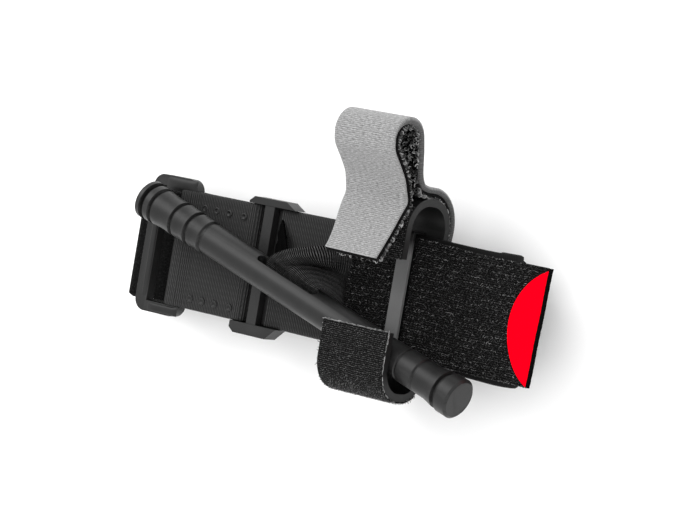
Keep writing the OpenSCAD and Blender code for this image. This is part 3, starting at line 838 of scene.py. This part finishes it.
def ribbon_loop():
    """Ribbon out of the rod's slot, over in an arch, and into the sleeve's mouth."""
    rows, columns, sink = 240, 52, 1.7
    routes = []
    for place, route in zip(LOOP_SLOT, LOOP_ROUTES):
        slot = [ROD_AXIS * place + SLOT_OUT * 1.5, ROD_AXIS * place + SLOT_OUT * 5.4]
        line = resample(spline(np.vstack([slot, route]), 12), 0.05)
        routes.append(line[np.linspace(0, len(line) - 1, rows).astype(int)])
    flat = spline_value(LOOP_SHARES, np.reshape(routes, (len(routes), -1)),
                        np.linspace(0, 1, columns))
    grid = flat.reshape(columns, rows, 3).swapaxes(0, 1)
    grid[:, :, 2] -= sink * smooth_step((grid[:, :, 0] - 12) / 6)
    grid += PIVOT
    piece = cloth("ribbon_loop_cloth", grid, 0.7, rib_pitch=0.56, rib_height=0.12)
    lean = np.array([0.5, 0, -0.866])
    done(piece, RIBBON, ("windlass", "packet", PIVOT + lean * 4.8, PIVOT + lean * 13.5),
         "inner_ribbon", "ribbon_loop", "ribbon_sleeve_run")


def ribbon_anchor():
    """Ribbon's other run: gathered out of the plate's second slot and led under the rod, in the darkest
    tape's colour as painted shade.
    """
    columns, rows, folds = 60, 90, 4
    k = np.linspace(0, 1, columns)[:, None]
    fold = np.array([1.5, 0.5, 1.1]) * np.sin(k * 2 * np.pi * folds + 1)
    start = np.array([LADDER_X + 4.2, 17.4, 16.6]) + np.array([1.2, -21.4, 0]) * k + fold * 0.5
    rise = start + np.array([1.2, -0.4, 4.4]) + fold
    end = PIVOT + ROD_AXIS * (3.5 - 14 * k) - SLOT_OUT * 3.5 + fold * 0.5
    lead = end - SLOT_OUT * 3 + np.array([-1, 1.5, -1.2]) + fold
    t = np.linspace(0, 1, rows)[:, None, None]
    grid = sum(math.comb(3, i) * t ** i * (1 - t) ** (3 - i) * knot[None]
               for i, knot in enumerate([start, rise, lead, end]))
    piece = cloth("ribbon_anchor_cloth", grid, 0.7)
    body = ("packet", "windlass", start.mean(axis=0) + [0, 0, 4], PIVOT - SLOT_OUT * 4)
    # Painted shade: the darkest tape material, darker than the ribbon, for this run in the hollow beside
    # the slot.
    done(piece, BINDING_TAPE_AND_SHADE, body, "inner_ribbon", "ribbon_anchor_run")


def stitch_template(length):
    """One raised stitch along +X."""
    a = np.linspace(0, 1, 6)
    line = np.stack([(a - 0.5) * length, 0 * a, 0.16 * np.sin(np.pi * a)], axis=1)
    return tube_template(line, 0.11, 5)


def bar_tacks():
    """Dense zigzag stitches that sew the ribbon's end down."""
    low, high = box_mm("ribbon_bar_tack")
    width, pitch, slant, sunk = 6.0, 0.28, 0.3, 0.95
    places, along = [], []
    for middle in np.linspace(low[1] + width / 2, high[1] - width / 2, 3):
        for i, y in enumerate(np.arange(middle - width / 2, middle + width / 2, pitch)):
            places.append(((low[0] + high[0]) / 2, y, low[2] - sunk))
            along.append((1, slant if i % 2 else -slant, 0))
    count = len(places)
    piece = scatter("ribbon_tack_threads", stitch_template(1.3), places, [(0, 0, 1)] * count,
                    along, np.ones(count), np.full(count, 0.6))
    done(piece, THREAD, "packet", "thread", "ribbon_bar_tack")


# ---- time strap

STRAP_T = 2.6

# The strap's (y, z) routes up to its fold and down from it. The fold itself is an
# arc (centre, radius), and the strap's two pieces meet at SPLIT_Y.
RISER = [[33.4, 30.2], [34.4, 32.6], [37.4, 34.7], [42, 35.9], [48, 37]]
FOLD = (48.2, 43.3, 5.9)
FLAP = [[48, 49.2], [44.8, 48.2], [41, 44.7], [37, 41.2], [33.4, 39.3], [30.6, 38],
        [28.8, 38], [26, 39.7], [20, 43.2], [14.6, 46.7], [11.4, 48.8]]
SPLIT_Y = 42.0


def strap_paths():
    """(y, z) middle line of the strap's lower and upper piece."""
    root_low, root_high = box_mm("time_strap_root")
    outer = HORN_R + 0.15 + STRAP_T / 2
    centre_y, centre_z = root_high[1] - STRAP_T / 2 - outer, root_low[2] + STRAP_T / 2 + outer
    root = np.vstack([[[root_low[1], centre_z - outer]], arc(centre_y, centre_z, outer, -90, 0, 16),
                      [[centre_y + outer, 28.4]]])
    riser = spline(RISER, 8)
    split = int(np.argmin(np.abs(riser[:, 0] - SPLIT_Y)))
    lower = np.vstack([root, riser[1:split + 1]])
    fold = arc(*FOLD, -80, 88, 24)
    upper = np.vstack([riser[split:-4], fold, spline(FLAP, 8)[2:]])
    return resample(lower, 0.5), resample(upper, 0.5)


def moved_aside(path, by):
    """A (y, z) path moved to its left; by may change along it."""
    d = unit(np.gradient(path, axis=0))
    return path + np.column_stack([-d[:, 1], d[:, 0]]) * np.reshape(by, (-1, 1))


def strap_layer(path, web, grow, puff, droop):
    """Grid and thickness of the strap's webbing (web) or of its pile.

    Along the strap, grow makes the webbing thicker, puff moves it out on a
    deeper pile, and droop lets its left edge down.
    """
    outside = -STRAP_T / 2 - puff
    split = outside + 1.1 + grow
    low, high = (outside, split) if web else (split + 0.02, STRAP_T / 2 - 0.2)
    thick = high - low
    line = moved_aside(path, (low + high) / 2)
    inset = 0.5 if web else 0.75
    grid = band_grid(line, STRAP_LOW[0] + inset, STRAP_HIGH[0] - inset, 30, 0)
    grid[:, :, 2] -= droop[:, None] * np.linspace(1, 0, 30)[None]
    return grid[:, ::-1], thick


def strap_curls(name, grid, thick, seed, edge_count, cut_count):
    """Loops of the strap's pile, with pale curls along its right edge and cut end."""
    rng = np.random.default_rng(seed)
    rows, columns = grid.shape[:2]
    d_along, d_across = unit(np.gradient(grid, axis=0)), unit(np.gradient(grid, axis=1))
    inward = unit(np.cross(d_along, d_across))
    step = max(1, int(1.0 / (path_length(grid[:, 0]) / rows)))
    i, j = np.meshgrid(np.arange(1, rows - 1, step), np.arange(0, columns))
    i, j = i.ravel(), j.ravel()
    i = np.clip(i + rng.integers(-step, step + 1, len(i)), 1, rows - 2)
    face_count = len(i)
    size, tone = rng.uniform(0.7, 1.2, face_count), rng.random(face_count) ** 1.8
    edge = rng.integers(2, rows - 2, edge_count)
    size = np.append(size, rng.uniform(0.6, 1.2, edge_count))
    tone = np.append(tone, rng.random(edge_count) ** 1.3)
    cut = rng.integers(0, columns, cut_count)
    size = np.append(size, rng.uniform(0.7, 1.2, cut_count))
    tone = np.append(tone, rng.uniform(0.6, 1, cut_count))
    i = np.concatenate([i, edge, np.full(cut_count, rows - 1)])
    j = np.concatenate([j, np.zeros(edge_count, int), cut])
    normals = inward[i, j] + rng.normal(0, 0.3, (len(i), 3))
    normals[face_count:] *= 0.5
    normals[face_count:face_count + edge_count, 0] += 0.9
    normals[face_count + edge_count:] += d_along[rows - 1, 0] * 0.9
    places = grid[i, j] + inward[i, j] * (np.broadcast_to(thick, rows)[i] * 0.4)[:, None]
    along = d_along[i, j] + rng.normal(0, 0.9, (len(i), 3))
    return scatter(name, tube_template(curl_line(), 0.17, 4), places, normals, along, size, tone)


def curl_line():
    """Most of a circle that stands on the cloth."""
    a = np.linspace(-0.9, math.pi + 0.9, 9)
    return np.stack([0.5 * np.cos(a), 0.1 * np.sin(2 * a), 0.5 * np.sin(a) + 0.35], axis=1)


def strap_tone_and_edge_shade(edge_shade_start, edge_shade_end):
    """Pale on one face; the long edges and the other face take a tone that changes along the strap, painted
    shade on the edges.
    """
    def tone(side, across, along):
        shaded_long_edge = (side == 0) & ((across < 0.01) | (across > 0.99))
        share = smooth_step((along - 0.25) / 0.2)
        return np.where(shaded_long_edge | (side > 0), edge_shade_start + (edge_shade_end - edge_shade_start) * share, 1.0)
    return tone


def strap_part(name, path, body, nodes, shape, tones, curls):
    """One piece of the strap in its two layers. shape is (grow, puff, droop) along it."""
    *web_nodes, pile_node = nodes
    grid, thick = strap_layer(path, True, *shape)
    # tones sets the painted shade on the webbing's long edges, from its start to its end value.
    web = cloth(name, grid, thick, tone=strap_tone_and_edge_shade(*tones))
    done(web, STRAP, body, "grey_strap", *web_nodes)
    grid, thick = strap_layer(path, False, *shape)
    pile = cloth(name + "_pile", grid, thick)
    done(pile, PILE, body, "strap_pile", pile_node)
    loops = strap_curls(name + "_loops", grid, thick, *curls)
    done(loops, CURL, body, "strap_pile")


def time_strap():
    """Grey strap from the clip's back, up round the far horn and folded over forwards."""
    lower, upper = strap_paths()
    puff = 0.9
    share = np.linspace(0, 1, len(lower))
    bend = ("packet", "strap_riser", (LIFT[0], LIFT[1] - 1.2, LIFT[2] - 2.4),
            (LIFT[0], LIFT[1] + 0.6, LIFT[2] + 3.2))
    shape = (0.8 + 0.8 * smooth_step((share - 0.7) / 0.3), puff * smooth_step(share / 0.4),
             0 * share)
    # Painted shade keeps the lower piece's long edges mid-grey.
    strap_part("time_strap_lower", lower, bend,
               ("time_strap_root", "strap_riser_webbing", "strap_riser_pile"),
               shape, tones=(0.25, 0.25), curls=(3, 90, 0))
    share = np.linspace(0, 1, len(upper))
    bend = ("strap_riser", "strap_flap", (0, 53.5, 45.2), (0, 50.65, 49.3))
    shape = (1.6 - 2.0 * smooth_step((share - 0.2) / 0.16),
             puff * (1 - smooth_step(share / 0.36)),
             1.5 * smooth_step((upper[:, 1] - 35) / 6) + 4.6 * smooth_step((share - 0.72) / 0.28))
    # Painted shade on the flap's long edges lifts along it towards the lit flap.
    strap_part("time_strap_upper", upper, bend, ("strap_flap_webbing", "strap_flap_pile"),
               shape, tones=(0.25, 0.85), curls=(4, 150, 5))


def strap_welds():
    """Weld spots that fix the strap's root to the outside of the far horn."""
    coat(frame["nodes"]["strap_root_weld"], STRAP)


# ---- hook tapes

HOOK_T = 0.5
HOOK_R = HORN_R + 0.05 + HOOK_T / 2  # middle of the hook tape, round a horn
NEAR_Y, FAR_Y = CLIP_LOW[1] + HORN_R, CLIP_HIGH[1] - HORN_R
HORN_LOW_Z, HORN_TOP_Z = CLIP_LOW[2] + HORN_R, CLIP_HIGH[2] - HORN_R


def hook_paths():
    """(y, z) middle line of the near and of the far hook tape."""
    top = HORN_TOP_Z + HOOK_R
    near = np.vstack([arc(NEAR_Y, HORN_LOW_Z, HOOK_R, 218, 180, 12)[:-1],
                      arc(NEAR_Y, HORN_TOP_Z, HOOK_R, 180, 90, 16),
                      [[box_mm("near_hook_patch")[1][1], top]]])
    far = np.vstack([[[box_mm("far_hook_patch")[0][1], top]],
                     arc(FAR_Y, HORN_TOP_Z, HOOK_R, 90, 50, 8)])
    return resample(near, 0.6), resample(far, 0.6)


def hook_rows(name, path, centre_y, rng):
    """Rows of hooks that stand out of a tape, every second row facing the other way."""
    fine = resample(path, 0.62)
    outward = unit(np.column_stack([-np.gradient(fine[:, 1]), np.gradient(fine[:, 0])]))
    if ((fine - [centre_y, (HORN_LOW_Z + HORN_TOP_Z) / 2]) * outward).sum() < 0:
        outward = -outward
    xs = np.arange(CLIP_LOW[0] + 0.5, CLIP_HIGH[0] - 0.6, 0.6)
    odd = np.arange(len(fine))[:, None] % 2
    x = (xs + 0.3 * odd + rng.uniform(-0.12, 0.12, (len(fine), len(xs)))).ravel()
    count = len(x)
    root, out, way = (np.repeat(rows, len(xs), axis=0) for rows in (
        fine + outward * HOOK_T * 0.4, outward, (2 * odd - 1) * [1, 0, 0]))
    places, normals = np.column_stack([x, root]), np.column_stack([np.zeros(count), out])
    hook = tube_template([(0, 0, 0), (0.05, 0, 0.25), (0.2, 0, 0.38), (0.32, 0, 0.24)], 0.07, 3)
    hooks = scatter(name, hook, places, normals + rng.normal(0, 0.3, (count, 3)), way,
                    rng.uniform(0.85, 1.15, count), rng.random(count))
    return done(hooks, HOOK, "packet", "hook_tape")


def hook_tapes():
    """Hook tape glued on the horns, with its rows of hooks."""
    rng = np.random.default_rng(5)
    near_path, far_path = hook_paths()
    for name, path, centre_y in (("near_hook", near_path, NEAR_Y),
                                 ("far_hook", far_path, FAR_Y)):
        grid = band_grid(path, CLIP_LOW[0] + 0.1, CLIP_HIGH[0] - 0.1, 30, 0)
        piece = cloth(name + "_tape", grid, HOOK_T)
        done(piece, HOOK_GROUND, "packet", "hook_tape", name + "_patch")
        extra = [hook_rows(name + "_hooks", path, centre_y, rng)]
        if name == "near_hook":
            normal = unit(np.cross(*[np.gradient(grid, axis=k) for k in (0, 1)]))
            extra.append(cut_threads(grid, normal))


def cut_threads(grid, normal):
    """Pale fibres along the hook tape's cut edges."""
    rng = np.random.default_rng(9)
    rows, columns = grid.shape[:2]
    at_end, at_right, at_left = 70, 60, 22
    i = np.concatenate([np.full(at_end, rows - 1), rng.integers(0, rows, at_right),
                        rng.integers(0, rows, at_left)])
    j = np.concatenate([np.linspace(0, columns - 1, at_end).astype(int),
                        np.full(at_right, columns - 1), np.zeros(at_left, int)])
    out = np.repeat([[0, 1.0, 0], [1, 0, 0], [-1, 0, 0]], [at_end, at_right, at_left], axis=0)
    places = grid[i, j] + out * 0.18 + rng.normal(0, 0.1, out.shape)
    along = np.abs(out[:, [1, 0, 2]]) + rng.normal(0, 0.25, out.shape)
    along[-at_left:] = out[-at_left:] + rng.normal(0, 0.5, (at_left, 3))
    line = [(-0.6, 0, 0), (-0.2, 0, 0.06), (0.25, 0, 0.02), (0.6, 0, 0.05)]
    piece = scatter("near_tape_fibres", tube_template(line, 0.11, 4), places, normal[i, j] + out,
                    along, rng.uniform(0.5, 1.2, len(i)), rng.uniform(0.35, 1, len(i)))
    return done(piece, CURL, "packet", "hook_tape")


# ---- studio

def studio():
    """White floor, soft lights and the camera."""
    size = 4000
    corners = [(-size, -size, 0), (size, -size, 0), (size, size, 0), (-size, size, 0)]
    sweep = mesh_object("floor", corners, [(0, 1, 2, 3)])
    sweep.location.z = -0.4 * MM
    coat(sweep, floor_paper("floor_paper"))

    aim = Vector((0.0, 0.0, 0.015))
    for name, place, power, width in (("key", (-0.5, 0.62, 0.8), 6.5, 0.7),
                                      ("fill", (0.9, 0.3, 0.9), 2, 0.9),
                                      ("rim", (0.1, -0.9, 0.35), 2, 0.5)):
        light = bpy.data.lights.new(name, "AREA")
        light.energy, light.size = power, width
        lamp = linked(name, light)
        lamp.location = place
        lamp.rotation_euler = (aim - Vector(place)).to_track_quat("-Z", "Y").to_euler()
    world = bpy.data.worlds.new("studio")
    world.use_nodes = True
    sky = world.node_tree.nodes["Background"].inputs
    sky["Color"].default_value = (1, 1, 1, 1)
    sky["Strength"].default_value = 1.25
    bpy.context.scene.world = world
    bpy.context.scene.view_settings.view_transform = "Standard"

    camera = bpy.data.cameras.new("camera")
    camera.lens, camera.sensor_width = 160.5, 36
    camera.clip_start, camera.clip_end = 0.05, 10
    view = linked("camera", camera)
    back = Vector((0.6138, 0.0505, 0.7879)).normalized()  # from the object to the camera
    up = Vector((-0.1637, 0.9844, 0.0644))
    right = up.cross(back).normalized()
    up = back.cross(right)
    turn = Matrix((right, up, back)).transposed().to_4x4()
    view.matrix_world = Matrix.Translation((0.5908, 0.0573, 0.7746)) @ turn
    bpy.context.scene.camera = view


moulded_parts()
anchor_webbing()
weld_dots()
sleeve_loops()
sleeve_front()
packed_sleeve()
sleeve_back()
red_tab()
tip_edge()
ribbon_loop()
bar_tacks()
ribbon_anchor()
time_strap()
strap_welds()
hook_tapes()
studio()
